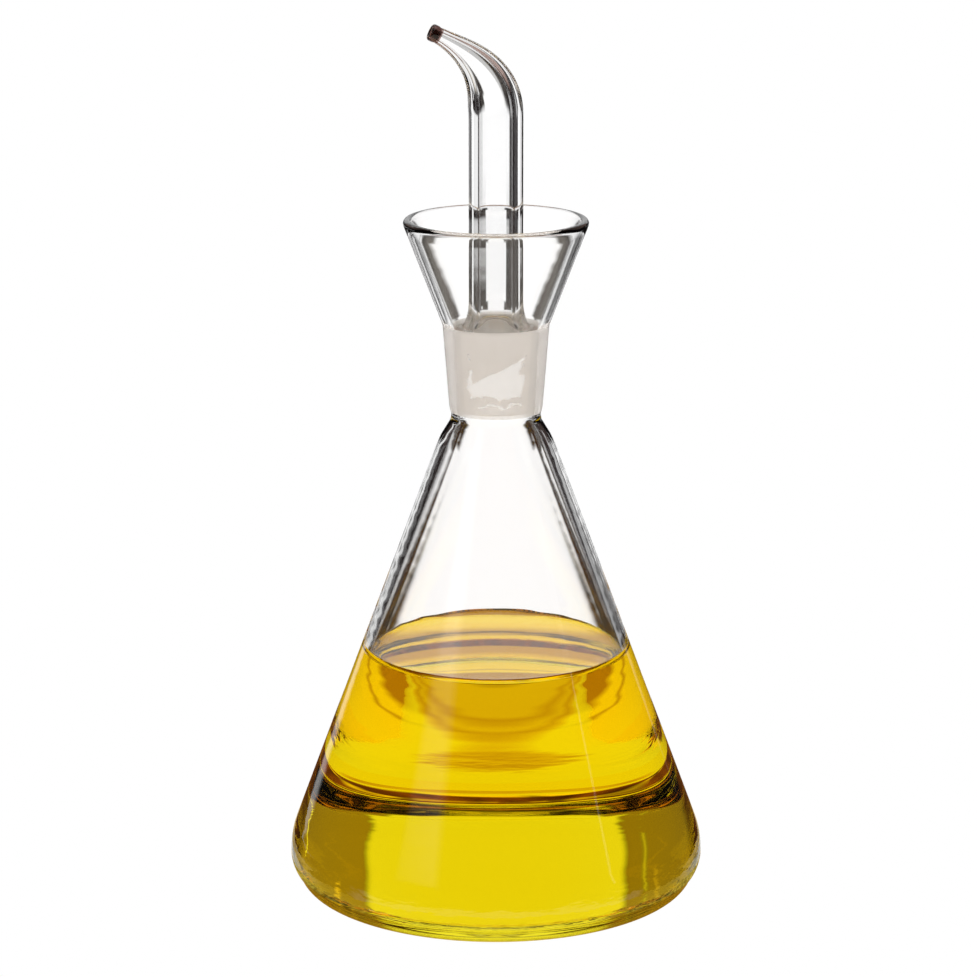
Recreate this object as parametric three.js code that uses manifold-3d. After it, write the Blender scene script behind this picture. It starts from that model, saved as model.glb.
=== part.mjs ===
// A clear glass oil cruet: a cone-shaped flask with a funnel mouth and a ground neck, a bent glass spout
// that stands in the neck on a ground hollow plug, and the oil inside.
// Millimetres, +Z up. The origin is on the flask's axis, on the surface that the cruet stands on.
import * as THREE from 'three';
import { mergeVertices } from 'three/addons/utils/BufferGeometryUtils.js';
import Module from 'manifold-3d';

const wasm = await Module();
wasm.setup();

// Driving dimensions
const bodyRadius = 44;
const widestHeight = 6.9;
const wall = 2.1;
const coneAngle = 20.26;
const coneTopRadius = 12.3;
const coneTopHeight = 96;
const rimRadius = 19.25;
const rimHeight = 143.4;
const lipRadius = 0.95;
const oilLevel = 52.2;
const spoutReach = 13.7;
const spoutHeight = 182.25;
const gap = 0.3;

// Base
const standingRingInner = 35.5;
const standingRingOuter = 38.9;
const footRounding = 3.6;
const footEndAngle = -10;
const ridgeHeight = 3.35;
const lowerCornerRadius = 6.5;
const pushUp = 1.6;
const pushUpEdge = 1.0;
const pushUpRadius = 32;
const floorCentre = 5.0;
const floorEdge = 4.0;
const innerCornerRadius = 5.5;

// Neck
const neckTopRadius = 11.15;
const neckTopHeight = 121.3;
const collarRadius = 9.8;
const collarHeight = 104.2;
const waistRadius = 9.38;
const waistHeight = 101.9;
const socketBottom = 103.0;
const socketBottomRadius = 7.95;
const throatHeight = 101.2;
const shoulderPull = 3;
const waistPull = 1.4;
const collarPull = 1.2;
const collarDraft = 0.1;

// Ground plug of the spout
const plugTopRadius = 8.94;
const plugTopHeight = 120.7;
const plugBottomHeight = 103.5;
const plugEdge = 0.35;
const plugBoreRadius = 5.9;
const plugBoreHeight = 116.5;
const shoulderRadius = 7.1;
const shoulderHeight = 121.3;
const flareHeight = 126.5;
const flareFootPull = 0.9;
const flareTopPull = 2;
const ventAngle = -48;
const ventWidth = 1.3;
const ventDepth = 0.75;

// Tube and bent tip
const tubeRadius = 5.65;
const boreRadius = 3.5;
const boreStartHeight = 123;
const boreStartPull = 3;
const plugBorePull = 2.5;
const bendHeight = 164;
const bendPull = 7.2;
const tipPull = 12.4;
const tipAngle = 25.8;
const tipRadius = 1.65;
const tipBoreRadius = 0.8;
const taperStart = 0.08;
const taperSpan = 0.9;
const beadRadius = 1.8;
const beadLength = 1.7;
const beadStep = 0.3;

// Smoothness
const bodySides = 60;
const tubeSides = 30;
const bendSteps = 14;

const radians = THREE.MathUtils.degToRad;
const slope = Math.tan(radians(coneAngle));
const across = 1 / Math.cos(radians(coneAngle));

const point = (radius, height) => new THREE.Vector2(radius, height);

// Points of an arc in a profile, with angles in degrees from the outward direction
function arc(centreRadius, centreHeight, radius, from, to, steps) {
  return Array.from({ length: steps + 1 }, (_, k) => {
    const angle = radians(from + (to - from) * k / steps);
    return point(centreRadius + radius * Math.cos(angle), centreHeight + radius * Math.sin(angle));
  });
}

// Points of a smooth bend between two profile points, each with a pull point that sets its direction
function bend(start, startPull, endPull, end, steps) {
  return new THREE.CubicBezierCurve(start, startPull, endPull, end).getPoints(steps);
}

// Radius of the cone's outer face at a height
const coneRadius = height => coneTopRadius + (coneTopHeight - height) * slope;

// The rounded corner and the cone above it, moved inwards by an inset, up to a given height
const wallMeetsCone = coneTopHeight - (bodyRadius - coneTopRadius) / slope;
const upperCornerRadius = (wallMeetsCone - widestHeight) / Math.tan(radians(coneAngle / 2));
const upperCornerCentre = bodyRadius - upperCornerRadius;

// The inside of the flask from the middle of its floor up to a given height on the cone
function insideProfile(inset, height) {
  const corner = innerCornerRadius + wall - inset;
  const bulge = upperCornerRadius - inset;
  const edge = floorEdge + inset - wall;
  const tangent = THREE.MathUtils.radToDeg(Math.asin((edge + corner - widestHeight) / (bulge - corner)));
  const centre = upperCornerCentre + (bulge - corner) * Math.cos(radians(tangent));
  return [
    point(0, floorCentre + inset - wall),
    ...arc(centre, edge + corner, corner, -90, tangent, 7),
    ...arc(upperCornerCentre, widestHeight, bulge, tangent, coneAngle, 2).slice(1),
    point(coneRadius(height) - inset * across, height),
  ];
}

// A profile turned about the vertical axis
function turned(profile, sides) {
  const geometry = new THREE.LatheGeometry(profile, sides);
  geometry.rotateX(Math.PI / 2);
  return geometry;
}

// Flask
function flaskGeometry() {
  const lipCentreRadius = rimRadius - lipRadius;
  const lipCentreHeight = rimHeight - lipRadius;
  const funnelAngle = THREE.MathUtils.radToDeg(
    Math.atan((rimRadius - neckTopRadius) / (rimHeight - neckTopHeight - lipRadius)));
  const funnelSlope = Math.tan(radians(funnelAngle));
  const socketTopRadius = plugTopRadius + gap;
  const lip = arc(lipCentreRadius, lipCentreHeight, lipRadius, -funnelAngle, 180 - funnelAngle, 8);
  const innerLipEnd = lip[lip.length - 1];
  const socketTop = innerLipEnd.y - (innerLipEnd.x - socketTopRadius) / funnelSlope;
  const underside = [
    point(0, pushUp),
    point(pushUpRadius, pushUpEdge),
    point(standingRingInner, 0),
  ];
  const foot = arc(standingRingOuter, footRounding, footRounding, -90, footEndAngle, 5);
  const ridgeAngle = THREE.MathUtils.radToDeg(Math.asin((ridgeHeight - widestHeight) / lowerCornerRadius));
  const lowerCorner = arc(bodyRadius - lowerCornerRadius, widestHeight, lowerCornerRadius, ridgeAngle, 0, 3);
  const upperCorner = arc(upperCornerCentre, widestHeight, upperCornerRadius, 0, coneAngle, 4).slice(1);
  const shoulder = bend(
    point(coneTopRadius, coneTopHeight),
    point(coneTopRadius - shoulderPull * slope, coneTopHeight + shoulderPull),
    point(waistRadius, waistHeight - waistPull),
    point(waistRadius, waistHeight), 6);
  const collar = bend(
    point(waistRadius, waistHeight),
    point(waistRadius, waistHeight + collarPull),
    point(collarRadius - collarDraft, collarHeight - collarPull),
    point(collarRadius, collarHeight), 3).slice(1);
  const inside = insideProfile(wall, coneTopHeight);
  const insideTop = inside[inside.length - 1];
  const throat = bend(
    point(socketBottomRadius, throatHeight),
    point(socketBottomRadius, throatHeight - waistPull),
    point(insideTop.x - shoulderPull * slope, coneTopHeight + shoulderPull),
    insideTop, 4);
  return turned([
    ...underside, ...foot, ...lowerCorner, ...upperCorner, ...shoulder, ...collar,
    point(neckTopRadius, neckTopHeight), ...lip,
    point(socketTopRadius, socketTop),
    point(socketBottomRadius, socketBottom),
    ...throat,
    ...inside.reverse().slice(1),
  ], bodySides);
}

// Oil, up to its level, clear of the glass by the gap
function oilGeometry() {
  return turned([...insideProfile(wall + gap, oilLevel), point(0, oilLevel)], bodySides);
}

// The line that the middle of the bent spout follows
const spine = new THREE.CubicBezierCurve3(
  new THREE.Vector3(0, 0, bendHeight),
  new THREE.Vector3(0, 0, bendHeight + bendPull),
  new THREE.Vector3(-spoutReach + tipPull * Math.cos(radians(tipAngle)), 0,
    spoutHeight - tipPull * Math.sin(radians(tipAngle))),
  new THREE.Vector3(-spoutReach, 0, spoutHeight));
const bendLength = spine.getLength();
const spoutLength = bendHeight + bendLength;

// Radius of the tube or its bore at a distance along the spine, narrowing smoothly to the tip
function tapered(wide, narrow, distance) {
  const along = (distance - bendHeight) / bendLength;
  return THREE.MathUtils.lerp(wide, narrow, THREE.MathUtils.smoothstep(along, taperStart, taperStart + taperSpan));
}

// A point of the straight spout moved to where the bend takes it
function bent(position) {
  if (position.z <= bendHeight) return position;
  const along = Math.min((position.z - bendHeight) / bendLength, 1);
  const centre = spine.getPointAt(along);
  const tangent = spine.getTangentAt(along);
  return new THREE.Vector3(centre.x + position.x * tangent.z, position.y, centre.z - position.x * tangent.x);
}

// Spout: ground plug, tube and bent tip in one piece, bored from end to end
function spoutGeometry() {
  const plugSlope = (plugTopRadius + gap - socketBottomRadius) / (plugTopHeight - socketBottom);
  const plugBottomRadius = plugTopRadius - (plugTopHeight - plugBottomHeight) * plugSlope;
  const distances = Array.from({ length: bendSteps + 1 }, (_, k) => bendHeight + bendLength * k / bendSteps);
  const beadStart = spoutLength - beadLength;
  const outerTaper = distances.filter(d => d < beadStart - beadStep).map(d => point(tapered(tubeRadius, tipRadius, d), d));
  const boreTaper = distances.slice(0, -1).map(d => point(tapered(boreRadius, tipBoreRadius, d), d));
  const beadCorner = beadRadius - tipBoreRadius;
  const bead = [
    point(tipRadius, beadStart),
    point(beadRadius, beadStart + beadStep),
    ...arc(tipBoreRadius + beadCorner / 2, spoutLength - beadCorner / 2, beadCorner / 2, 0, 180, 5),
  ];
  const shoulder = bend(
    point(shoulderRadius, shoulderHeight),
    point(shoulderRadius - flareFootPull, shoulderHeight + flareFootPull),
    point(tubeRadius, flareHeight - flareTopPull),
    point(tubeRadius, flareHeight), 4);
  const boreFoot = bend(
    point(boreRadius, boreStartHeight),
    point(boreRadius, boreStartHeight - boreStartPull),
    point(plugBoreRadius, plugBoreHeight + plugBorePull),
    point(plugBoreRadius, plugBoreHeight), 4);
  const outline = [
    point(plugBoreRadius, plugBottomHeight),
    point(plugBottomRadius - plugEdge, plugBottomHeight),
    point(plugBottomRadius, plugBottomHeight + plugEdge),
    point(plugTopRadius, plugTopHeight - plugEdge),
    point(plugTopRadius - plugEdge, plugTopHeight),
    ...shoulder, ...outerTaper, ...bead, ...boreTaper.reverse(), ...boreFoot,
    point(plugBoreRadius, plugBottomHeight),
  ];
  const straight = turned(outline, tubeSides);
  const positions = straight.attributes.position;
  for (let k = 0; k < positions.count; k += 1) {
    const moved = bent(new THREE.Vector3().fromBufferAttribute(positions, k));
    positions.setXYZ(k, moved.x, moved.y, moved.z);
  }
  return fromSolid(toSolid(straight).subtract(toSolid(ventGeometry(plugBottomRadius))));
}

// The rod that cuts the air vent, a groove down the whole face of the plug
function ventGeometry(plugBottomRadius) {
  const overrun = 2;
  const lean = Math.atan((plugTopRadius - plugBottomRadius) / (plugTopHeight - plugBottomHeight));
  const rod = new THREE.CylinderGeometry(ventWidth / 2, ventWidth / 2, plugTopHeight - plugBottomHeight + 2 * overrun, 10);
  rod.rotateX(Math.PI / 2);
  rod.rotateY(lean);
  rod.translate((plugTopRadius + plugBottomRadius) / 2 + ventWidth / 2 - ventDepth, 0,
    (plugTopHeight + plugBottomHeight) / 2);
  rod.rotateZ(radians(ventAngle));
  return rod;
}

// A closed mesh as a solid, and back
function toSolid(geometry) {
  const bare = geometry.clone();
  bare.deleteAttribute('normal');
  bare.deleteAttribute('uv');
  const merged = mergeVertices(bare, 1e-4);
  return new wasm.Manifold(new wasm.Mesh({
    numProp: 3,
    vertProperties: new Float32Array(merged.attributes.position.array),
    triVerts: new Uint32Array(merged.index.array),
  }));
}

function fromSolid(solid) {
  const mesh = solid.getMesh();
  const geometry = new THREE.BufferGeometry();
  geometry.setAttribute('position', new THREE.BufferAttribute(new Float32Array(mesh.vertProperties), 3));
  geometry.setIndex(new THREE.BufferAttribute(new Uint32Array(mesh.triVerts), 1));
  geometry.computeVertexNormals();
  return geometry;
}

const glass = new THREE.MeshStandardMaterial({
  color: 0xeef0ea, roughness: 0.03, metalness: 0, transparent: true, opacity: 0.3,
});
const spoutGlass = new THREE.MeshStandardMaterial({
  color: 0xe2dfd8, roughness: 0.2, metalness: 0, transparent: true, opacity: 0.5,
});
const oilYellow = new THREE.MeshStandardMaterial({ color: 0xdcb800, roughness: 0.05, metalness: 0 });

const cruet = new THREE.Group();

function add(name, geometry, material) {
  const mesh = new THREE.Mesh(geometry, material);
  mesh.name = name;
  cruet.add(mesh);
}

add('flask', flaskGeometry(), glass);
add('spout_stopper', spoutGeometry(), spoutGlass);
add('oil', oilGeometry(), oilYellow);

export default cruet;
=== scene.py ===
"""The finished look of a clear glass oil cruet: a flask, a bent spout on a ground plug, and yellow oil.

Shapes are worked out in millimetres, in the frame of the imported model, and become meshes in metres.
"""

import math

import bpy
import numpy as np
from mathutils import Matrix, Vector


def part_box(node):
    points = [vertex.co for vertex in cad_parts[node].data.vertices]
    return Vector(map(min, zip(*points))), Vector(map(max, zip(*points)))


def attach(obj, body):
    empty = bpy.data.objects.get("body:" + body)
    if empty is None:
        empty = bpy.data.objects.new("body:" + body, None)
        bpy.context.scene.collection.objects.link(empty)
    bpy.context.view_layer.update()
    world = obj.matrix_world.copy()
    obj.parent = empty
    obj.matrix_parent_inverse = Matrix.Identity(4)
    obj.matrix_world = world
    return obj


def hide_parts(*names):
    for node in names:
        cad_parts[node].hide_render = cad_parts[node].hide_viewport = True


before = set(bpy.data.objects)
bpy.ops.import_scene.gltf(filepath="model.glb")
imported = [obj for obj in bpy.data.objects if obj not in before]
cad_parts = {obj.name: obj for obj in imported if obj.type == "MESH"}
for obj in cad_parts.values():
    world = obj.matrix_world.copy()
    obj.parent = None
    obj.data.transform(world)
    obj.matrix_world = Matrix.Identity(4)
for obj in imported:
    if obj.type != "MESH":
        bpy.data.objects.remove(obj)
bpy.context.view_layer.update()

MM = 0.001

# Sizes read from the frame
flask_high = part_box("flask")[1]
BODY_RADIUS = flask_high.x / MM
RIM_HEIGHT = flask_high.z / MM
OIL_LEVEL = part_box("oil")[1].z / MM
PLUG_BOTTOM_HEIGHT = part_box("spout_stopper")[0].z / MM

# Flask
WIDEST_HEIGHT = 6.9
WALL = 2.1
CONE_ANGLE = math.radians(20.26)
CONE_TOP_RADIUS = 12.3
CONE_TOP_HEIGHT = 96.0
RIM_RADIUS = 19.25
LIP_RADIUS = 0.95
STANDING_RING_INNER = 35.5
STANDING_RING_OUTER = 38.9
FOOT_ROUNDING = 3.6
FOOT_END_ANGLE = -10.0
RIDGE_HEIGHT = 3.35
LOWER_CORNER_RADIUS = 6.5
PUSH_UP = 1.6
PUSH_UP_EDGE = 1.0
PUSH_UP_RADIUS = 32.0
FLOOR_CENTRE = 5.0
FLOOR_EDGE = 4.0
INNER_CORNER_RADIUS = 5.5
NECK_TOP_RADIUS = 11.15
NECK_TOP_HEIGHT = 121.3
COLLAR_RADIUS = 9.8
COLLAR_HEIGHT = 104.2
WAIST_RADIUS = 9.38
WAIST_HEIGHT = 101.9
SOCKET_BOTTOM = 103.0
SOCKET_BOTTOM_RADIUS = 7.95
THROAT_HEIGHT = 101.2
SHOULDER_PULL = 3.0
WAIST_PULL = 1.4
COLLAR_PULL = 1.2
COLLAR_DRAFT = 0.1

# Spout
SEAT_GAP = 0.08
PLUG_TOP_RADIUS = 8.94
PLUG_TOP_HEIGHT = 120.7
PLUG_BORE_RADIUS = 5.9
PLUG_BORE_HEIGHT = 116.5
SHOULDER_RADIUS = 7.1
SHOULDER_HEIGHT = 121.3
FLARE_HEIGHT = 126.5
FLARE_FOOT_PULL = 0.9
FLARE_TOP_PULL = 2.0
TUBE_RADIUS = 5.65
BORE_RADIUS = 3.5
BORE_START_HEIGHT = 123.0
BORE_START_PULL = 3.0
PLUG_BORE_PULL = 2.5
BEND_HEIGHT = 164.0
BEND_PULL = 7.2
SPOUT_REACH = 13.7
SPOUT_HEIGHT = 182.25
TIP_PULL = 12.4
TIP_ANGLE = math.radians(25.8)
TIP_RADIUS = 1.65
TIP_BORE_RADIUS = 0.8
TAPER_START = 0.08
TAPER_SPAN = 0.9
BEAD_RADIUS = 1.8
BEAD_LENGTH = 1.7
BEAD_STEP = 0.3

# Oil
OIL_IN_WALL = 0.12
MENISCUS_HEIGHT = 0.8
MENISCUS_REACH = 1.1
MENISCUS_SPAN = 8 * MENISCUS_REACH

# How fine the meshes are. The straight part of the spout keeps one ring in twelve
FLASK_SIDES = 240
SPOUT_SIDES = 240
OIL_SIDES = 180
STRAIGHT_RINGS = 12
SPINE_STEPS = 400
TUBE_STEPS = 60

# Where one glass of a mesh ends and the next begins, past the edge of a shape
GROUND_MARGIN = 0.6
GROUND_DEPTH = 0.3
PLUG_WALL_DEPTH = 0.5
WETTED_MARGIN = 0.1
FOOT_ABOVE_RIDGE = 2
TIP_MARGIN = 0.4

slope = math.tan(CONE_ANGLE)
across = 1 / math.cos(CONE_ANGLE)


# Profiles: arrays of (radius, height) in millimetres


def arc(centre_radius, centre_height, radius, start, end, steps):
    """Points of an arc, with angles in degrees from the outward direction."""
    angles = np.radians(np.linspace(start, end, steps + 1))
    radii = centre_radius + radius * np.cos(angles)
    heights = centre_height + radius * np.sin(angles)
    return np.column_stack([radii, heights])


def bend(start, start_pull, end_pull, end, steps=16):
    """Points of a cubic curve between two points, each with a pull point that sets its direction."""
    t = np.linspace(0, 1, steps + 1)[:, None]
    start, start_pull, end_pull, end = map(np.array, (start, start_pull, end_pull, end))
    first_half = (1 - t) ** 3 * start + 3 * (1 - t) ** 2 * t * start_pull
    second_half = 3 * (1 - t) * t**2 * end_pull + t**3 * end
    return first_half + second_half


def lengths_along(points):
    """The distance along a line of points, at each point."""
    return np.concatenate([[0], np.cumsum(np.linalg.norm(np.diff(points, axis=0), axis=1))])


def softened(parts, reach=0.25, spacing=0.12, longest=2.5):
    """Joins parts of a profile and rounds off its corners over about the given reach."""
    points = np.vstack([np.reshape(part, (-1, 2)) for part in parts])
    along = lengths_along(points)
    even = np.linspace(0, along[-1], int(along[-1] / spacing) + 2)
    line = np.column_stack([np.interp(even, along, points[:, k]) for k in (0, 1)])
    half = int(3 * reach / spacing)
    weights = np.exp(-0.5 * (np.arange(-half, half + 1) * spacing / reach) ** 2)
    weights /= weights.sum()
    before = 2 * line[0] - line[half:0:-1]
    after = 2 * line[-1] - line[-2 : -half - 2 : -1]
    padded = np.vstack([before, line, after])
    smooth = np.column_stack([np.convolve(padded[:, k], weights, "valid") for k in (0, 1)])
    return thinned(smooth, step=longest)


def thinned(line, turn=math.radians(4), step=2.5):
    """Keeps the points of a dense line where it has turned or run on far enough."""
    kept = [0]
    directions = np.diff(line, axis=0)
    angles = np.unwrap(np.arctan2(directions[:, 1], directions[:, 0]))
    for k in range(1, len(line) - 1):
        last = kept[-1]
        if abs(angles[k] - angles[last]) > turn or np.linalg.norm(line[k] - line[last]) > step:
            kept.append(k)
    return line[kept + [len(line) - 1]]


def cone_radius(height):
    """Radius of the cone's outer face."""
    return CONE_TOP_RADIUS + (CONE_TOP_HEIGHT - height) * slope


wall_meets_cone = CONE_TOP_HEIGHT - (BODY_RADIUS - CONE_TOP_RADIUS) / slope
upper_corner_radius = (wall_meets_cone - WIDEST_HEIGHT) / math.tan(CONE_ANGLE / 2)
upper_corner_centre = BODY_RADIUS - upper_corner_radius


def inside_profile(inset, height):
    """The inside of the flask, from the middle of its floor up to a height on the cone."""
    corner = INNER_CORNER_RADIUS + WALL - inset
    bulge = upper_corner_radius - inset
    edge = FLOOR_EDGE + inset - WALL
    tangent = math.degrees(math.asin((edge + corner - WIDEST_HEIGHT) / (bulge - corner)))
    centre = upper_corner_centre + (bulge - corner) * math.cos(math.radians(tangent))
    return np.vstack([
        [(0, FLOOR_CENTRE + inset - WALL)],
        arc(centre, edge + corner, corner, -90, tangent, 24),
        arc(upper_corner_centre, WIDEST_HEIGHT, bulge, tangent, math.degrees(CONE_ANGLE), 12),
        [(cone_radius(height) - inset * across, height)],
    ])


# Meshes


def grid_mesh(name, rings, closed, bands=None, materials=()):
    """A closed mesh from rings of points, an array of (rings, sides, 3) in mm.

    A ring of no size becomes a pole. closed says that the last ring joins the first. bands gives each
    strip between two rings its material.
    """
    count, sides, _ = rings.shape
    vertices, index = [], []
    for ring in rings:
        pole = np.linalg.norm(ring - ring[0], axis=1).max() < 1e-6
        start = len(vertices)
        vertices.extend(ring[:1] if pole else ring)
        index.append([start] * sides if pole else list(range(start, start + sides)))
    faces, slots = [], []
    for k in range(count if closed else count - 1):
        low, high = index[k], index[(k + 1) % count]
        for j in range(sides):
            corners = [low[j], low[(j + 1) % sides], high[(j + 1) % sides], high[j]]
            faces.append(list(dict.fromkeys(corners)))
            slots.append(0 if bands is None else int(bands[k]))
    mesh = bpy.data.meshes.new(name)
    mesh.from_pydata([tuple(v * MM) for v in vertices], [], faces)
    mesh.polygons.foreach_set("use_smooth", [True] * len(faces))
    mesh.polygons.foreach_set("material_index", slots)
    for material in materials:
        mesh.materials.append(material)
    mesh.update()
    piece = bpy.data.objects.new(name, mesh)
    bpy.context.scene.collection.objects.link(piece)
    return piece


def turned(profile, sides):
    """Rings of a profile turned about the vertical axis, in mm."""
    angles = np.linspace(0, 2 * np.pi, sides, endpoint=False)
    radius = np.maximum(profile[:, :1], 0)
    return np.stack([
        radius * np.cos(angles),
        radius * np.sin(angles),
        np.repeat(profile[:, 1:], sides, axis=1),
    ], axis=2)


# Flask


def flask_profile():
    """The flask's whole outline, from the middle of its underside over the lip to the middle of its floor."""
    lip_centre = (RIM_RADIUS - LIP_RADIUS, RIM_HEIGHT - LIP_RADIUS)
    funnel_height = RIM_HEIGHT - NECK_TOP_HEIGHT - LIP_RADIUS
    funnel_angle = math.degrees(math.atan((RIM_RADIUS - NECK_TOP_RADIUS) / funnel_height))
    lip = arc(*lip_centre, LIP_RADIUS, -funnel_angle, 180 - funnel_angle, 24)
    socket_top_radius = PLUG_TOP_RADIUS + SEAT_GAP
    socket_top = lip[-1][1] - (lip[-1][0] - socket_top_radius) / math.tan(math.radians(funnel_angle))
    ridge_angle = math.degrees(math.asin((RIDGE_HEIGHT - WIDEST_HEIGHT) / LOWER_CORNER_RADIUS))
    inside = inside_profile(WALL, CONE_TOP_HEIGHT)
    return softened([
        [(0, PUSH_UP), (PUSH_UP_RADIUS, PUSH_UP_EDGE), (STANDING_RING_INNER, 0)],
        arc(STANDING_RING_OUTER, FOOT_ROUNDING, FOOT_ROUNDING, -90, FOOT_END_ANGLE, 20),
        arc(BODY_RADIUS - LOWER_CORNER_RADIUS, WIDEST_HEIGHT, LOWER_CORNER_RADIUS, ridge_angle, 0, 12),
        arc(upper_corner_centre, WIDEST_HEIGHT, upper_corner_radius, 0, math.degrees(CONE_ANGLE), 16),
        bend((CONE_TOP_RADIUS, CONE_TOP_HEIGHT),
             (CONE_TOP_RADIUS - SHOULDER_PULL * slope, CONE_TOP_HEIGHT + SHOULDER_PULL),
             (WAIST_RADIUS, WAIST_HEIGHT - WAIST_PULL),
             (WAIST_RADIUS, WAIST_HEIGHT)),
        bend((WAIST_RADIUS, WAIST_HEIGHT),
             (WAIST_RADIUS, WAIST_HEIGHT + COLLAR_PULL),
             (COLLAR_RADIUS - COLLAR_DRAFT, COLLAR_HEIGHT - COLLAR_PULL),
             (COLLAR_RADIUS, COLLAR_HEIGHT)),
        [(NECK_TOP_RADIUS, NECK_TOP_HEIGHT)],
        lip,
        [(socket_top_radius, socket_top), (SOCKET_BOTTOM_RADIUS, SOCKET_BOTTOM)],
        bend((SOCKET_BOTTOM_RADIUS, THROAT_HEIGHT),
             (SOCKET_BOTTOM_RADIUS, THROAT_HEIGHT - WAIST_PULL),
             (inside[-1][0] - SHOULDER_PULL * slope, CONE_TOP_HEIGHT + SHOULDER_PULL),
             inside[-1]),
        inside[::-1],
    ])


def make_flask(materials):
    """The flask. Its materials are blown, ground and wetted glass, and that of the foot, tinted yellow as
    painted light of the oil.
    """
    profile = flask_profile()
    profile[0][0] = profile[-1][0] = 0
    middles = (profile[1:] + profile[:-1]) / 2
    radius, height = middles.T
    in_socket = (height > SOCKET_BOTTOM) & (height < PLUG_TOP_HEIGHT + GROUND_MARGIN)
    ground = in_socket & (radius < PLUG_TOP_RADIUS + GROUND_DEPTH)
    turning_point = np.argmax(profile[:, 1])
    inside = np.arange(len(middles)) > turning_point
    wetted = inside & (height < OIL_LEVEL - WETTED_MARGIN)
    # The foot gets the yellow glass: painted light of the oil
    foot = ~inside & (height < RIDGE_HEIGHT + FOOT_ABOVE_RIDGE) & (radius > STANDING_RING_INNER)
    slots = np.select([foot, wetted, ground], [3, 2, 1], 0)
    return grid_mesh("flask_glass", turned(profile, FLASK_SIDES), False, slots, materials)


# Spout


def spine():
    """The line that the middle of the bent spout follows, as points and directions at even distances."""
    pull_x = -SPOUT_REACH + TIP_PULL * math.cos(TIP_ANGLE)
    pull_z = SPOUT_HEIGHT - TIP_PULL * math.sin(TIP_ANGLE)
    line = bend((0, BEND_HEIGHT), (0, BEND_HEIGHT + BEND_PULL),
                (pull_x, pull_z), (-SPOUT_REACH, SPOUT_HEIGHT), SPINE_STEPS)
    along = lengths_along(line)
    even = np.linspace(0, along[-1], SPINE_STEPS + 1)
    points = np.column_stack([np.interp(even, along, line[:, k]) for k in (0, 1)])
    directions = np.gradient(points, axis=0)
    directions[0] = (0, 1)
    return even, points, directions / np.linalg.norm(directions, axis=1)[:, None]


spine_along, spine_points, spine_directions = spine()
bend_length = spine_along[-1]
spout_length = BEND_HEIGHT + bend_length


def tapered(wide, narrow, distance):
    """Radius of the tube or its bore, narrowing smoothly to the tip."""
    share = np.clip(((distance - BEND_HEIGHT) / bend_length - TAPER_START) / TAPER_SPAN, 0, 1)
    return wide + (narrow - wide) * share**2 * (3 - 2 * share)


def bent(rings):
    """Rings of the straight spout, moved to where the bend takes them."""
    along = np.clip(rings[:, :, 2] - BEND_HEIGHT, 0, bend_length)
    beyond = rings[:, :, 2] - BEND_HEIGHT - along
    centre_x, centre_z = (np.interp(along, spine_along, spine_points[:, k]) for k in (0, 1))
    direction_x, direction_z = (np.interp(along, spine_along, spine_directions[:, k]) for k in (0, 1))
    straight = rings[:, :, 2] <= BEND_HEIGHT
    x = centre_x + rings[:, :, 0] * direction_z + beyond * direction_x
    z = centre_z - rings[:, :, 0] * direction_x + beyond * direction_z
    return np.stack([
        np.where(straight, rings[:, :, 0], x),
        rings[:, :, 1],
        np.where(straight, rings[:, :, 2], z),
    ], axis=2)


def make_spout(materials):
    """The spout and its plug. Its materials are clear and ground glass, and that of the tip, tinted dark
    brown as painted shade.
    """
    plug_slope = (PLUG_TOP_RADIUS + SEAT_GAP - SOCKET_BOTTOM_RADIUS) / (PLUG_TOP_HEIGHT - SOCKET_BOTTOM)
    plug_bottom_radius = PLUG_TOP_RADIUS - (PLUG_TOP_HEIGHT - PLUG_BOTTOM_HEIGHT) * plug_slope
    bead_start = spout_length - BEAD_LENGTH
    distances = np.linspace(BEND_HEIGHT, spout_length, TUBE_STEPS)
    outer = distances[distances < bead_start - BEAD_STEP]
    bead_corner = (BEAD_RADIUS - TIP_BORE_RADIUS) / 2
    profile = softened([
        [(PLUG_BORE_RADIUS, PLUG_BOTTOM_HEIGHT), (plug_bottom_radius, PLUG_BOTTOM_HEIGHT),
         (PLUG_TOP_RADIUS, PLUG_TOP_HEIGHT)],
        bend((SHOULDER_RADIUS, SHOULDER_HEIGHT),
             (SHOULDER_RADIUS - FLARE_FOOT_PULL, SHOULDER_HEIGHT + FLARE_FOOT_PULL),
             (TUBE_RADIUS, FLARE_HEIGHT - FLARE_TOP_PULL),
             (TUBE_RADIUS, FLARE_HEIGHT)),
        np.column_stack([tapered(TUBE_RADIUS, TIP_RADIUS, outer), outer]),
        [(TIP_RADIUS, bead_start), (BEAD_RADIUS, bead_start + BEAD_STEP)],
        arc(TIP_BORE_RADIUS + bead_corner, spout_length - bead_corner, bead_corner, 0, 180, 12),
        np.column_stack([tapered(BORE_RADIUS, TIP_BORE_RADIUS, distances), distances])[-3::-1],
        bend((BORE_RADIUS, BORE_START_HEIGHT),
             (BORE_RADIUS, BORE_START_HEIGHT - BORE_START_PULL),
             (PLUG_BORE_RADIUS, PLUG_BORE_HEIGHT + PLUG_BORE_PULL),
             (PLUG_BORE_RADIUS, PLUG_BORE_HEIGHT)),
        [(PLUG_BORE_RADIUS, PLUG_BOTTOM_HEIGHT + 0.2)],
    ], reach=0.15, longest=0.25)
    needed = (profile[:, 1] > BEND_HEIGHT - 2) | (profile[:, 1] < FLARE_HEIGHT + 1)
    profile = profile[needed | (np.arange(len(profile)) % STRAIGHT_RINGS == 0)]
    radius, height = ((profile + np.roll(profile, -1, axis=0)) / 2).T
    ground = (height < PLUG_TOP_HEIGHT) & (radius > PLUG_BORE_RADIUS + PLUG_WALL_DEPTH)
    tip = height > bead_start - TIP_MARGIN
    rings = turned(profile, SPOUT_SIDES)
    return grid_mesh("spout_glass", bent(rings), True, ground + 2 * tip, materials)


# Oil


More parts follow.
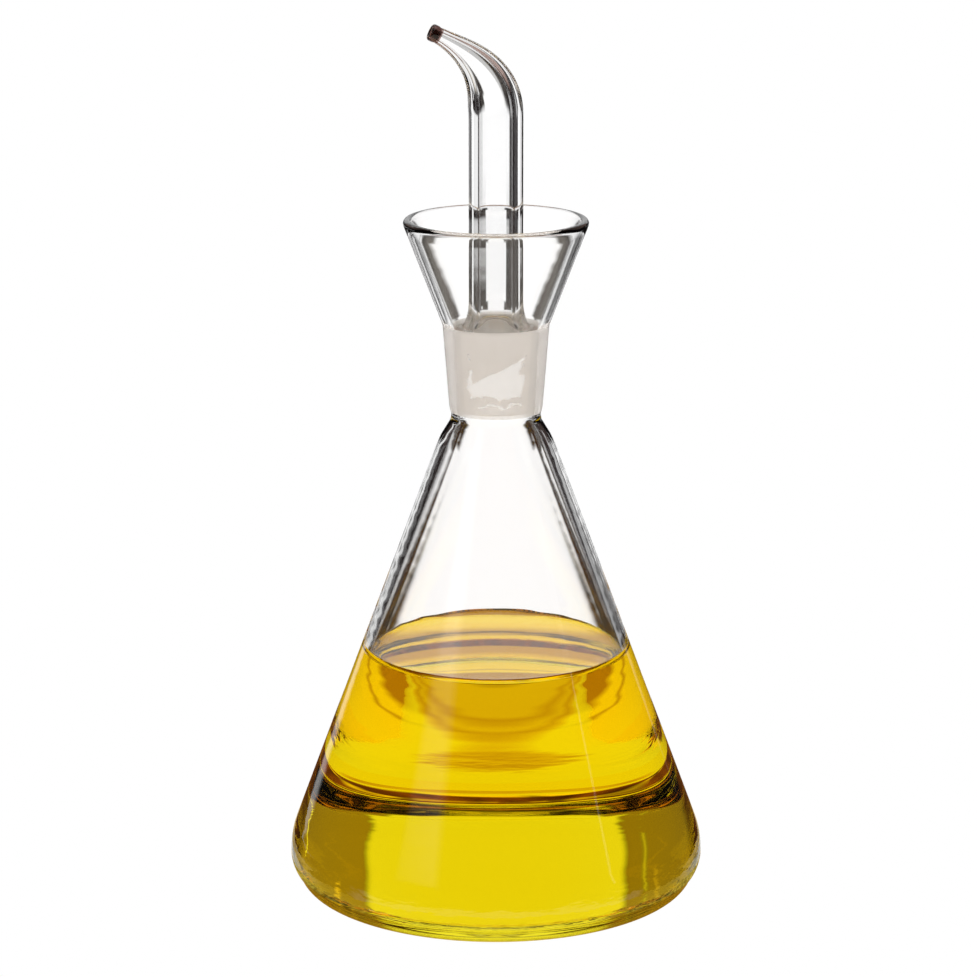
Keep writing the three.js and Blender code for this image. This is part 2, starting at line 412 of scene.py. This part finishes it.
def make_oil(materials):
    """The oil reaches just into the wall, and its surface climbs the glass in a small meniscus."""
    inset = WALL - OIL_IN_WALL
    side = inside_profile(inset, OIL_LEVEL)
    edge = side[-1][0]
    surface = edge - np.linspace(0, MENISCUS_SPAN, 40)
    height = OIL_LEVEL - MENISCUS_HEIGHT * (1 - np.exp(-(edge - surface) / MENISCUS_REACH))
    profile = thinned(np.vstack([
        softened([side], reach=0.1),
        np.column_stack([surface, height]),
        [(0, height[-1])],
    ]), step=4)
    profile[0][0] = profile[-1][0] = 0
    return grid_mesh("oil_fill", turned(profile, OIL_SIDES), False, None, materials)


# Materials

GLASS_BENDING = 1.47
# Dark brown tint of the tip's glass: painted shade, standing in for the bead's dark refraction
TIP_PAINTED_SHADE_COLOUR = (0.12, 0.06, 0.05)
GROUND_ROUGHNESS = 0.3
GROUND_COLOUR = (0.9, 0.86, 0.81)
GROUND_CLARITY = 0.45
WET_ROUGHNESS = 0.1
WET_CLARITY = 0.35
# Whiter colour of the wet patch: painted light, making the patch shine brighter
WET_PAINTED_LIGHT_COLOUR = (1, 0.99, 0.97)
# How soft the edges of a patch are, in mm and in radians, and how ragged
WET_EDGE = 0.2
WET_EDGE_ANGLE = 0.02
RAGGED_SCALE = 420
RAGGED_ANGLE = 0.7
RAGGED_HEIGHT = 5
# Each patch: its left and right edge in degrees, its bottom and its top at the left edge in mm, and how
# much the top rises, in mm a radian
WET_PATCHES = (
    (-138, -64, 107.2, 110.0, 4.5),
    (-141, -134, 109.5, 113.0, 0),
    (-125, -62, 105.4, 105.9, 0),
    (-141, -138, 114.8, 116.6, 0),
)
# Light bends only a little where oil wets the glass
UNDER_OIL_BENDING = 1.035
# Yellow tint of the foot's glass: painted light of the oil shining through the foot
FOOT_PAINTED_OIL_LIGHT_COLOUR = (1, 0.88, 0.03)
RING_SCALE = (25, 25, 260)
RING_DEPTH = 0.035
STREAK_SCALE = (110, 110, 300)
STREAK_DEPTH = 0.22
STREAKS_TOP = 15
STREAKS_MIDDLE = 8
STREAKS_BOTTOM = 2
OIL_ABSORPTION_COLOUR = (0.986, 0.943, 0.0)
OIL_ABSORPTION_DENSITY = 90
SURFACE_MARGIN = 0.1


def glass_material(name, roughness=0, colour=(1, 1, 1), ior=GLASS_BENDING):
    """Clear glass, or ground or tinted glass with a roughness or a colour."""
    material = bpy.data.materials.new(name)
    material.use_nodes = True
    shader = material.node_tree.nodes["Principled BSDF"]
    shader.inputs["Base Color"].default_value = (*colour, 1)
    shader.inputs["Roughness"].default_value = roughness
    shader.inputs["IOR"].default_value = ior
    shader.inputs["Transmission Weight"].default_value = 1
    return material


def maths(tree, operation, *values):
    """A Math node. A value is a number or the output of another node."""
    node = tree.nodes.new("ShaderNodeMath")
    node.operation = operation
    for k, value in enumerate(values):
        if isinstance(value, (int, float)):
            node.inputs[k].default_value = value
        else:
            tree.links.new(value, node.inputs[k])
    return node.outputs[0]


def stretched_noise(tree, place, scale, detail):
    """Noise with a scale of its own along each axis, in cycles a metre."""
    stretch = tree.nodes.new("ShaderNodeMapping")
    stretch.inputs["Scale"].default_value = scale
    noise = tree.nodes.new("ShaderNodeTexNoise")
    noise.inputs["Scale"].default_value = 1
    noise.inputs["Detail"].default_value = detail
    tree.links.new(place, stretch.inputs["Vector"])
    tree.links.new(stretch.outputs["Vector"], noise.inputs["Vector"])
    return noise.outputs["Fac"]


def blown(material):
    """Shallow uneven rings round the glass and deeper streaks low down, as hand blowing leaves them."""
    tree = material.node_tree
    place = tree.nodes.new("ShaderNodeTexCoord").outputs["Object"]
    split = tree.nodes.new("ShaderNodeSeparateXYZ")
    tree.links.new(place, split.inputs["Vector"])
    rings = maths(tree, "MULTIPLY", stretched_noise(tree, place, RING_SCALE, 1), RING_DEPTH)
    below = step(tree, split.outputs["Z"], STREAKS_TOP * MM, STREAKS_MIDDLE * MM)
    above = step(tree, split.outputs["Z"], STREAKS_BOTTOM * MM, STREAKS_MIDDLE * MM)
    low_down = maths(tree, "MULTIPLY", below, above)
    streaks = maths(tree, "MULTIPLY", stretched_noise(tree, place, STREAK_SCALE, 3), STREAK_DEPTH)
    height = maths(tree, "ADD", rings, maths(tree, "MULTIPLY", streaks, low_down))
    bump = tree.nodes.new("ShaderNodeBump")
    bump.inputs["Distance"].default_value = MM
    tree.links.new(height, bump.inputs["Height"])
    tree.links.new(bump.outputs["Normal"], tree.nodes["Principled BSDF"].inputs["Normal"])
    return material


def step(tree, value, low, high):
    """Goes smoothly from 0 to 1 as the value goes from low to high."""
    node = tree.nodes.new("ShaderNodeMapRange")
    node.interpolation_type = "SMOOTHSTEP"
    tree.links.new(value, node.inputs["Value"])
    node.inputs["From Min"].default_value = low
    node.inputs["From Max"].default_value = high
    return node.outputs["Result"]


def ground_material():
    """Ground glass, cloudy, with a ragged wet patch at the front that is smoother, and whose whiter colour is
    painted light that makes it shine brighter.
    """
    material = glass_material("ground_glass", GROUND_ROUGHNESS, GROUND_COLOUR)
    tree = material.node_tree
    shader = tree.nodes["Principled BSDF"]
    place = tree.nodes.new("ShaderNodeTexCoord").outputs["Object"]
    split = tree.nodes.new("ShaderNodeSeparateXYZ")
    tree.links.new(place, split.inputs["Vector"])
    noise = tree.nodes.new("ShaderNodeTexNoise")
    noise.inputs["Scale"].default_value = RAGGED_SCALE
    noise.inputs["Detail"].default_value = 6
    noise.inputs["Roughness"].default_value = 0.65
    tree.links.new(place, noise.inputs["Vector"])
    ragged = maths(tree, "SUBTRACT", noise.outputs["Fac"], 0.5)
    heading = maths(tree, "ARCTAN2", split.outputs["Y"], split.outputs["X"])
    angle = maths(tree, "ADD", heading, maths(tree, "MULTIPLY", ragged, RAGGED_ANGLE))
    height_in_mm = maths(tree, "MULTIPLY", split.outputs["Z"], 1 / MM)
    height = maths(tree, "ADD", height_in_mm, maths(tree, "MULTIPLY", ragged, RAGGED_HEIGHT))
    patch = 0
    for left, right, low, high, rise in WET_PATCHES:
        aside = maths(tree, "SUBTRACT", angle, math.radians(left))
        top = maths(tree, "ADD", high, maths(tree, "MULTIPLY", aside, rise))
        under_top = step(tree, maths(tree, "SUBTRACT", top, height), 0, WET_EDGE)
        over_bottom = step(tree, height, low, low + WET_EDGE)
        past_left = step(tree, aside, 0, WET_EDGE_ANGLE)
        before_right = step(tree, angle, math.radians(right), math.radians(right) - WET_EDGE_ANGLE)
        upright = maths(tree, "MULTIPLY", under_top, over_bottom)
        sideways = maths(tree, "MULTIPLY", past_left, before_right)
        patch = maths(tree, "MAXIMUM", patch, maths(tree, "MULTIPLY", upright, sideways))
    for name, dry, wet in (
        ("Roughness", GROUND_ROUGHNESS, WET_ROUGHNESS),
        ("Transmission Weight", GROUND_CLARITY, WET_CLARITY),
    ):
        change = maths(tree, "MULTIPLY", patch, wet - dry)
        tree.links.new(maths(tree, "ADD", dry, change), shader.inputs[name])
    # The wet patch's whiter colour is painted light
    tone = tree.nodes.new("ShaderNodeMix")
    tone.data_type = "RGBA"
    tone.inputs["A"].default_value = (*GROUND_COLOUR, 1)
    tone.inputs["B"].default_value = (*WET_PAINTED_LIGHT_COLOUR, 1)
    tree.links.new(patch, tone.inputs["Factor"])
    tree.links.new(tone.outputs["Result"], shader.inputs["Base Color"])
    return material


def oil_material():
    """Oil. Light bends at its surface only, because glass and oil bend light alike."""
    material = glass_material("oil")
    nodes, links = material.node_tree.nodes, material.node_tree.links
    absorption = nodes.new("ShaderNodeVolumeAbsorption")
    absorption.inputs["Color"].default_value = (*OIL_ABSORPTION_COLOUR, 1)
    absorption.inputs["Density"].default_value = OIL_ABSORPTION_DENSITY
    links.new(absorption.outputs["Volume"], nodes["Material Output"].inputs["Volume"])
    split = nodes.new("ShaderNodeSeparateXYZ")
    links.new(nodes.new("ShaderNodeTexCoord").outputs["Object"], split.inputs["Vector"])
    below_surface = (OIL_LEVEL - MENISCUS_HEIGHT - SURFACE_MARGIN) * MM
    surface = maths(material.node_tree, "GREATER_THAN", split.outputs["Z"], below_surface)
    excess = maths(material.node_tree, "MULTIPLY", surface, GLASS_BENDING - 1)
    bending = maths(material.node_tree, "ADD", 1, excess)
    links.new(bending, nodes["Principled BSDF"].inputs["IOR"])
    return material


clear = glass_material("clear_glass")
ground_glass = ground_material()
pieces = {
    "flask": make_flask([
        blown(glass_material("blown_glass")),
        ground_glass,
        glass_material("glass_under_oil", ior=UNDER_OIL_BENDING),
        # The foot's yellow tint is painted light of the oil
        blown(glass_material("foot_glass_painted_oil_light", colour=FOOT_PAINTED_OIL_LIGHT_COLOUR)),
    ]),
    # The tip's dark tint is painted shade
    "spout_stopper": make_spout([clear, ground_glass, glass_material("tip_glass_painted_shade", 0.05, TIP_PAINTED_SHADE_COLOUR)]),
    "oil": make_oil([oil_material()]),
}
for node, piece in pieces.items():
    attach(piece, "root")
    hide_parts(node)


# Camera

CAMERA_AZIMUTH = math.radians(-12)
CAMERA_PITCH = math.radians(14.1)
CAMERA_DISTANCE = 760 * MM
AIM_HEIGHT = 86 * MM
PICTURE_SIDE = 977
FOCAL_PIXELS = 3620
AXIS_RIGHT_OF_CENTRE = 7.5

SENSOR = 36
camera_data = bpy.data.cameras.new("camera")
camera_data.sensor_width = SENSOR
camera_data.lens = FOCAL_PIXELS * SENSOR / PICTURE_SIDE
camera_data.shift_x = -AXIS_RIGHT_OF_CENTRE / PICTURE_SIDE
camera = bpy.data.objects.new("camera", camera_data)
bpy.context.scene.collection.objects.link(camera)
back = Vector((
    math.sin(CAMERA_AZIMUTH) * math.cos(CAMERA_PITCH),
    -math.cos(CAMERA_AZIMUTH) * math.cos(CAMERA_PITCH),
    math.sin(CAMERA_PITCH),
))
camera.location = Vector((0, 0, AIM_HEIGHT)) + back * CAMERA_DISTANCE
camera.rotation_mode = "QUATERNION"
camera.rotation_quaternion = (-back).to_track_quat("-Z", "Y")
bpy.context.scene.camera = camera

# Studio: a white background, a dome of lights and a table glowing with painted shadow and painted caustics,
# which both turn with the camera

scene = bpy.context.scene
scene.view_settings.view_transform = "Standard"
world = bpy.data.worlds.new("white_background")
world.use_nodes = True
world.node_tree.nodes["Background"].inputs["Color"].default_value = (1, 1, 1, 1)
scene.world = world

DOME_RADIUS = 5
DOME_STEP = 0.75
DARK = 0.02
SCATTERED_LIGHT = (1.62, 1.57, 1.54, 1)
# Each light: azimuth from straight behind the cruet (right is positive), elevation, half width, half
# height and softness of the edge, all in degrees, then brightness and tint
WHITE = (1, 1, 1)
BEIGE = (1, 0.93, 0.82)
DUSKY = (1, 0.8, 0.78)
RUSTY = (1, 0.71, 0.62)
LIGHTS = {
    "table_below": (0, -75, 60, 18, 4, 0.8, WHITE),
    "table_near": (0, -40, 46, 16, 3, 0.95, WHITE),
    "table_middle": (0, -20, 9, 9, 1.2, 1.12, WHITE),
    "table_left": (-25, -19, 3.5, 2.5, 1, 0.9, WHITE),
    "table_right": (40, -22, 5, 4, 1.5, 0.85, WHITE),
    "table_far": (0, -10, 12, 2.6, 0.8, 1.15, WHITE),
    "table_edge": (0, -7.8, 20, 1.5, 0.6, 1.15, WHITE),
    "horizon": (0, -1.5, 12, 5.5, 1.5, 0.6, WHITE),
    "backdrop": (0, 27, 24, 22, 1.5, 0.95, WHITE),
    "right_wall": (40, 26, 19, 18, 5, 0.38, RUSTY),
    "left_wall": (-40, 26, 19, 18, 5, 0.34, RUSTY),
    "left_wall_slit": (-30, 17.5, 0.7, 4, 1.2, 0.65, BEIGE),
    "left_wall_lamp": (-34, 13, 1.0, 5, 1.2, 0.6, RUSTY),
    "right_wall_lamp": (33, 11, 1.2, 4, 1, 0.9, RUSTY),
    "left_softbox": (-36, -8, 24, 1.8, 0.8, 0.9, WHITE),
    "right_softbox": (31, -4, 6, 2.5, 1, 0.45, WHITE),
    "overhead": (0, 80, 180, 28, 6, 0.8, WHITE),
    "table_in_front": (180, -52, 125, 24, 6, 0.85, BEIGE),
    "table_before_front": (180, -21, 85, 8, 3, 0.8, BEIGE),
    "front_softbox": (-135, 29, 9, 12, 6, 1.0, WHITE),
    "right_slit": (54, 30, 0.5, 14, 0.5, 1.4, WHITE),
    "front_slit": (113, 24, 0.6, 20, 0.5, 1.2, WHITE),
}


def dome_light(azimuth, elevation):
    """The colour of the dome in each direction, with angles in degrees."""
    light = np.multiply.outer(np.full(azimuth.shape, float(DARK)), DUSKY)
    for middle, height, half_width, half_height, soft, brightness, tint in LIGHTS.values():
        aside = np.abs((azimuth - middle + 180) % 360 - 180)
        above = np.abs(elevation - height)
        beyond = np.maximum(aside - half_width, above - half_height)
        share = np.clip(0.5 - beyond / (2 * soft), 0, 1)
        light = np.maximum(light, np.multiply.outer(brightness * share * share * (3 - 2 * share), tint))
    return light


def lit_mesh(name, points, faces, colours):
    """A glowing mesh of the studio, with a colour for each point, that the camera doesn't see directly.

    Light that ground glass has scattered comes back in one even colour instead.
    """
    mesh = bpy.data.meshes.new(name)
    mesh.from_pydata(points.tolist(), [], faces.tolist())
    light = mesh.attributes.new("light", "FLOAT_VECTOR", "POINT")
    light.data.foreach_set("vector", colours.ravel())
    material = bpy.data.materials.new(name)
    material.use_nodes = True
    nodes, links = material.node_tree.nodes, material.node_tree.links
    nodes.clear()
    painted = nodes.new("ShaderNodeAttribute")
    painted.attribute_name = "light"
    diffuse_depth = nodes.new("ShaderNodeLightPath").outputs["Diffuse Depth"]
    scattered = maths(material.node_tree, "GREATER_THAN", diffuse_depth, 0.5)
    seen = nodes.new("ShaderNodeMix")
    seen.data_type = "RGBA"
    seen.inputs["B"].default_value = SCATTERED_LIGHT
    glow = nodes.new("ShaderNodeEmission")
    output = nodes.new("ShaderNodeOutputMaterial")
    links.new(scattered, seen.inputs["Factor"])
    links.new(painted.outputs["Vector"], seen.inputs["A"])
    links.new(seen.outputs["Result"], glow.inputs["Color"])
    links.new(glow.outputs["Emission"], output.inputs["Surface"])
    mesh.materials.append(material)
    thing = bpy.data.objects.new(name, mesh)
    scene.collection.objects.link(thing)
    thing.visible_camera = False
    return thing


def make_dome():
    """The dome's own axes are those of the camera: right, up and back."""
    columns = int(360 / DOME_STEP)
    rows = int(180 / DOME_STEP) + 1
    azimuth = np.repeat(np.linspace(-180, 180, columns, endpoint=False)[None, :], rows, axis=0)
    elevation = np.repeat(np.linspace(-90, 90, rows)[:, None], columns, axis=1)
    a, e = np.radians(azimuth), np.radians(elevation)
    right, forward, up = np.sin(a) * np.cos(e), np.cos(a) * np.cos(e), np.sin(e)
    cos_pitch, sin_pitch = math.cos(CAMERA_PITCH), math.sin(CAMERA_PITCH)
    points = np.stack([
        right,
        up * cos_pitch + forward * sin_pitch,
        up * sin_pitch - forward * cos_pitch,
    ], axis=2).reshape(-1, 3) * DOME_RADIUS
    index = np.arange(rows * columns).reshape(rows, columns)
    beside = np.roll(index, -1, axis=1)
    faces = np.stack([index[:-1], beside[:-1], beside[1:], index[1:]], axis=2).reshape(-1, 4)
    dome = lit_mesh("light_dome", points, faces, dome_light(azimuth, elevation))
    dome.location = (0, 0, AIM_HEIGHT)
    follow = dome.constraints.new("COPY_ROTATION")
    follow.target = camera


# Painted light on the table: the amber is painted shade under the base, the brown painted shadow, and the
# golden, sunny and honey colours painted caustics of the oil
AMBER_PAINTED_SHADE = (0.52, 0.28, 0.01)
HONEY_PAINTED_CAUSTIC = (0.82, 0.62, 0.3)
DARK_HONEY_PAINTED_CAUSTIC = (0.66, 0.43, 0.1)
BROWN_PAINTED_SHADOW = (0.16, 0.05, 0.01)
GOLD_PAINTED_CAUSTIC = (0.95, 0.78, 0.1)
BRIGHT = (1.0, 0.97, 0.9)
SUNNY_PAINTED_CAUSTIC = (1.12, 0.92, 0.4)
# Radius of each ring in millimetres: its colour before and behind the cruet, as painted shade, shadow and
# caustics
TABLE_PAINTED_SHADOW_AND_CAUSTIC_RINGS = {
    0: (AMBER_PAINTED_SHADE, AMBER_PAINTED_SHADE),
    22: (AMBER_PAINTED_SHADE, AMBER_PAINTED_SHADE),
    26.8: (AMBER_PAINTED_SHADE, AMBER_PAINTED_SHADE),
    28: (AMBER_PAINTED_SHADE, SUNNY_PAINTED_CAUSTIC),
    29.3: (AMBER_PAINTED_SHADE, SUNNY_PAINTED_CAUSTIC),
    29.8: (AMBER_PAINTED_SHADE, DARK_HONEY_PAINTED_CAUSTIC),
    30.4: (AMBER_PAINTED_SHADE, SUNNY_PAINTED_CAUSTIC),
    36: (AMBER_PAINTED_SHADE, SUNNY_PAINTED_CAUSTIC),
    38: (AMBER_PAINTED_SHADE, SUNNY_PAINTED_CAUSTIC),
    40.5: (AMBER_PAINTED_SHADE, DARK_HONEY_PAINTED_CAUSTIC),
    43.5: (AMBER_PAINTED_SHADE, DARK_HONEY_PAINTED_CAUSTIC),
    45: (GOLD_PAINTED_CAUSTIC, BROWN_PAINTED_SHADOW),
    46.3: (GOLD_PAINTED_CAUSTIC, BROWN_PAINTED_SHADOW),
    46.7: (GOLD_PAINTED_CAUSTIC, HONEY_PAINTED_CAUSTIC),
    47.1: (GOLD_PAINTED_CAUSTIC, BROWN_PAINTED_SHADOW),
    48.4: (GOLD_PAINTED_CAUSTIC, BROWN_PAINTED_SHADOW),
    49: (GOLD_PAINTED_CAUSTIC, HONEY_PAINTED_CAUSTIC),
    50: (GOLD_PAINTED_CAUSTIC, BRIGHT),
    57.8: (GOLD_PAINTED_CAUSTIC, BRIGHT),
    59: (GOLD_PAINTED_CAUSTIC, HONEY_PAINTED_CAUSTIC),
    60: (GOLD_PAINTED_CAUSTIC, DARK_HONEY_PAINTED_CAUSTIC),
    61.2: (GOLD_PAINTED_CAUSTIC, HONEY_PAINTED_CAUSTIC),
    63: (GOLD_PAINTED_CAUSTIC, DARK_HONEY_PAINTED_CAUSTIC),
    64.5: (GOLD_PAINTED_CAUSTIC, HONEY_PAINTED_CAUSTIC),
    71: (GOLD_PAINTED_CAUSTIC, HONEY_PAINTED_CAUSTIC),
    74: (GOLD_PAINTED_CAUSTIC, BROWN_PAINTED_SHADOW),
    100: (BROWN_PAINTED_SHADOW, BROWN_PAINTED_SHADOW),
    150: (BROWN_PAINTED_SHADOW, BROWN_PAINTED_SHADOW),
}
# In front of the cruet the table ends at this radius
TABLE_EDGE_IN_FRONT = 60
TABLE_SIDES = 240
# Between these radii the light is uneven, by a random factor at each point
RAGGED_FROM = 44
RAGGED_TO = 49.5
RAGGED_LIGHT = (0.35, 1.9)
TABLE_DROP = 0.3


def make_painted_light_table():
    """The table round the base, glowing in the colours that light has after the oil and the glass: painted
    shade under the base, painted shadow and painted caustics of the oil.
    """
    angles = np.linspace(0, 2 * np.pi, TABLE_SIDES, endpoint=False)
    radii = np.array(list(TABLE_PAINTED_SHADOW_AND_CAUSTIC_RINGS), float)
    ragged = np.random.default_rng(3)
    behind = np.clip(0.5 + np.sin(angles) * 1.5, 0, 1)[:, None]
    colours = []
    for front, back in TABLE_PAINTED_SHADOW_AND_CAUSTIC_RINGS.values():
        colours.append(np.array(front) * (1 - behind) + np.array(back) * behind)
    for ring, radius in enumerate(radii):
        if RAGGED_FROM < radius < RAGGED_TO:
            colours[ring] = colours[ring] * ragged.uniform(*RAGGED_LIGHT, (TABLE_SIDES, 1))
    points = np.stack([
        np.outer(radii, np.cos(angles)),
        np.outer(radii, np.sin(angles)),
        np.zeros((len(radii), len(angles))),
    ], axis=2).reshape(-1, 3) * MM
    index = np.arange(len(points)).reshape(len(radii), len(angles))
    beside = np.roll(index, -1, axis=1)
    faces = np.stack([index[:-1], index[1:], beside[1:], beside[:-1]], axis=2)
    kept = (radii[:-1, None] < TABLE_EDGE_IN_FRONT) | (np.sin(angles)[None, :] > 0)
    faces = faces[kept]
    table = lit_mesh("table", points, faces, np.concatenate(colours))
    table.location = (0, 0, -TABLE_DROP * MM)
    follow = table.constraints.new("LOCKED_TRACK")
    follow.target = camera
    follow.track_axis = "TRACK_NEGATIVE_Y"
    follow.lock_axis = "LOCK_Z"


make_dome()
make_painted_light_table()

scene.cycles.max_bounces = 32
scene.cycles.transmission_bounces = 32
scene.cycles.glossy_bounces = 16
scene.cycles.transparent_max_bounces = 16
scene.cycles.use_denoising = True
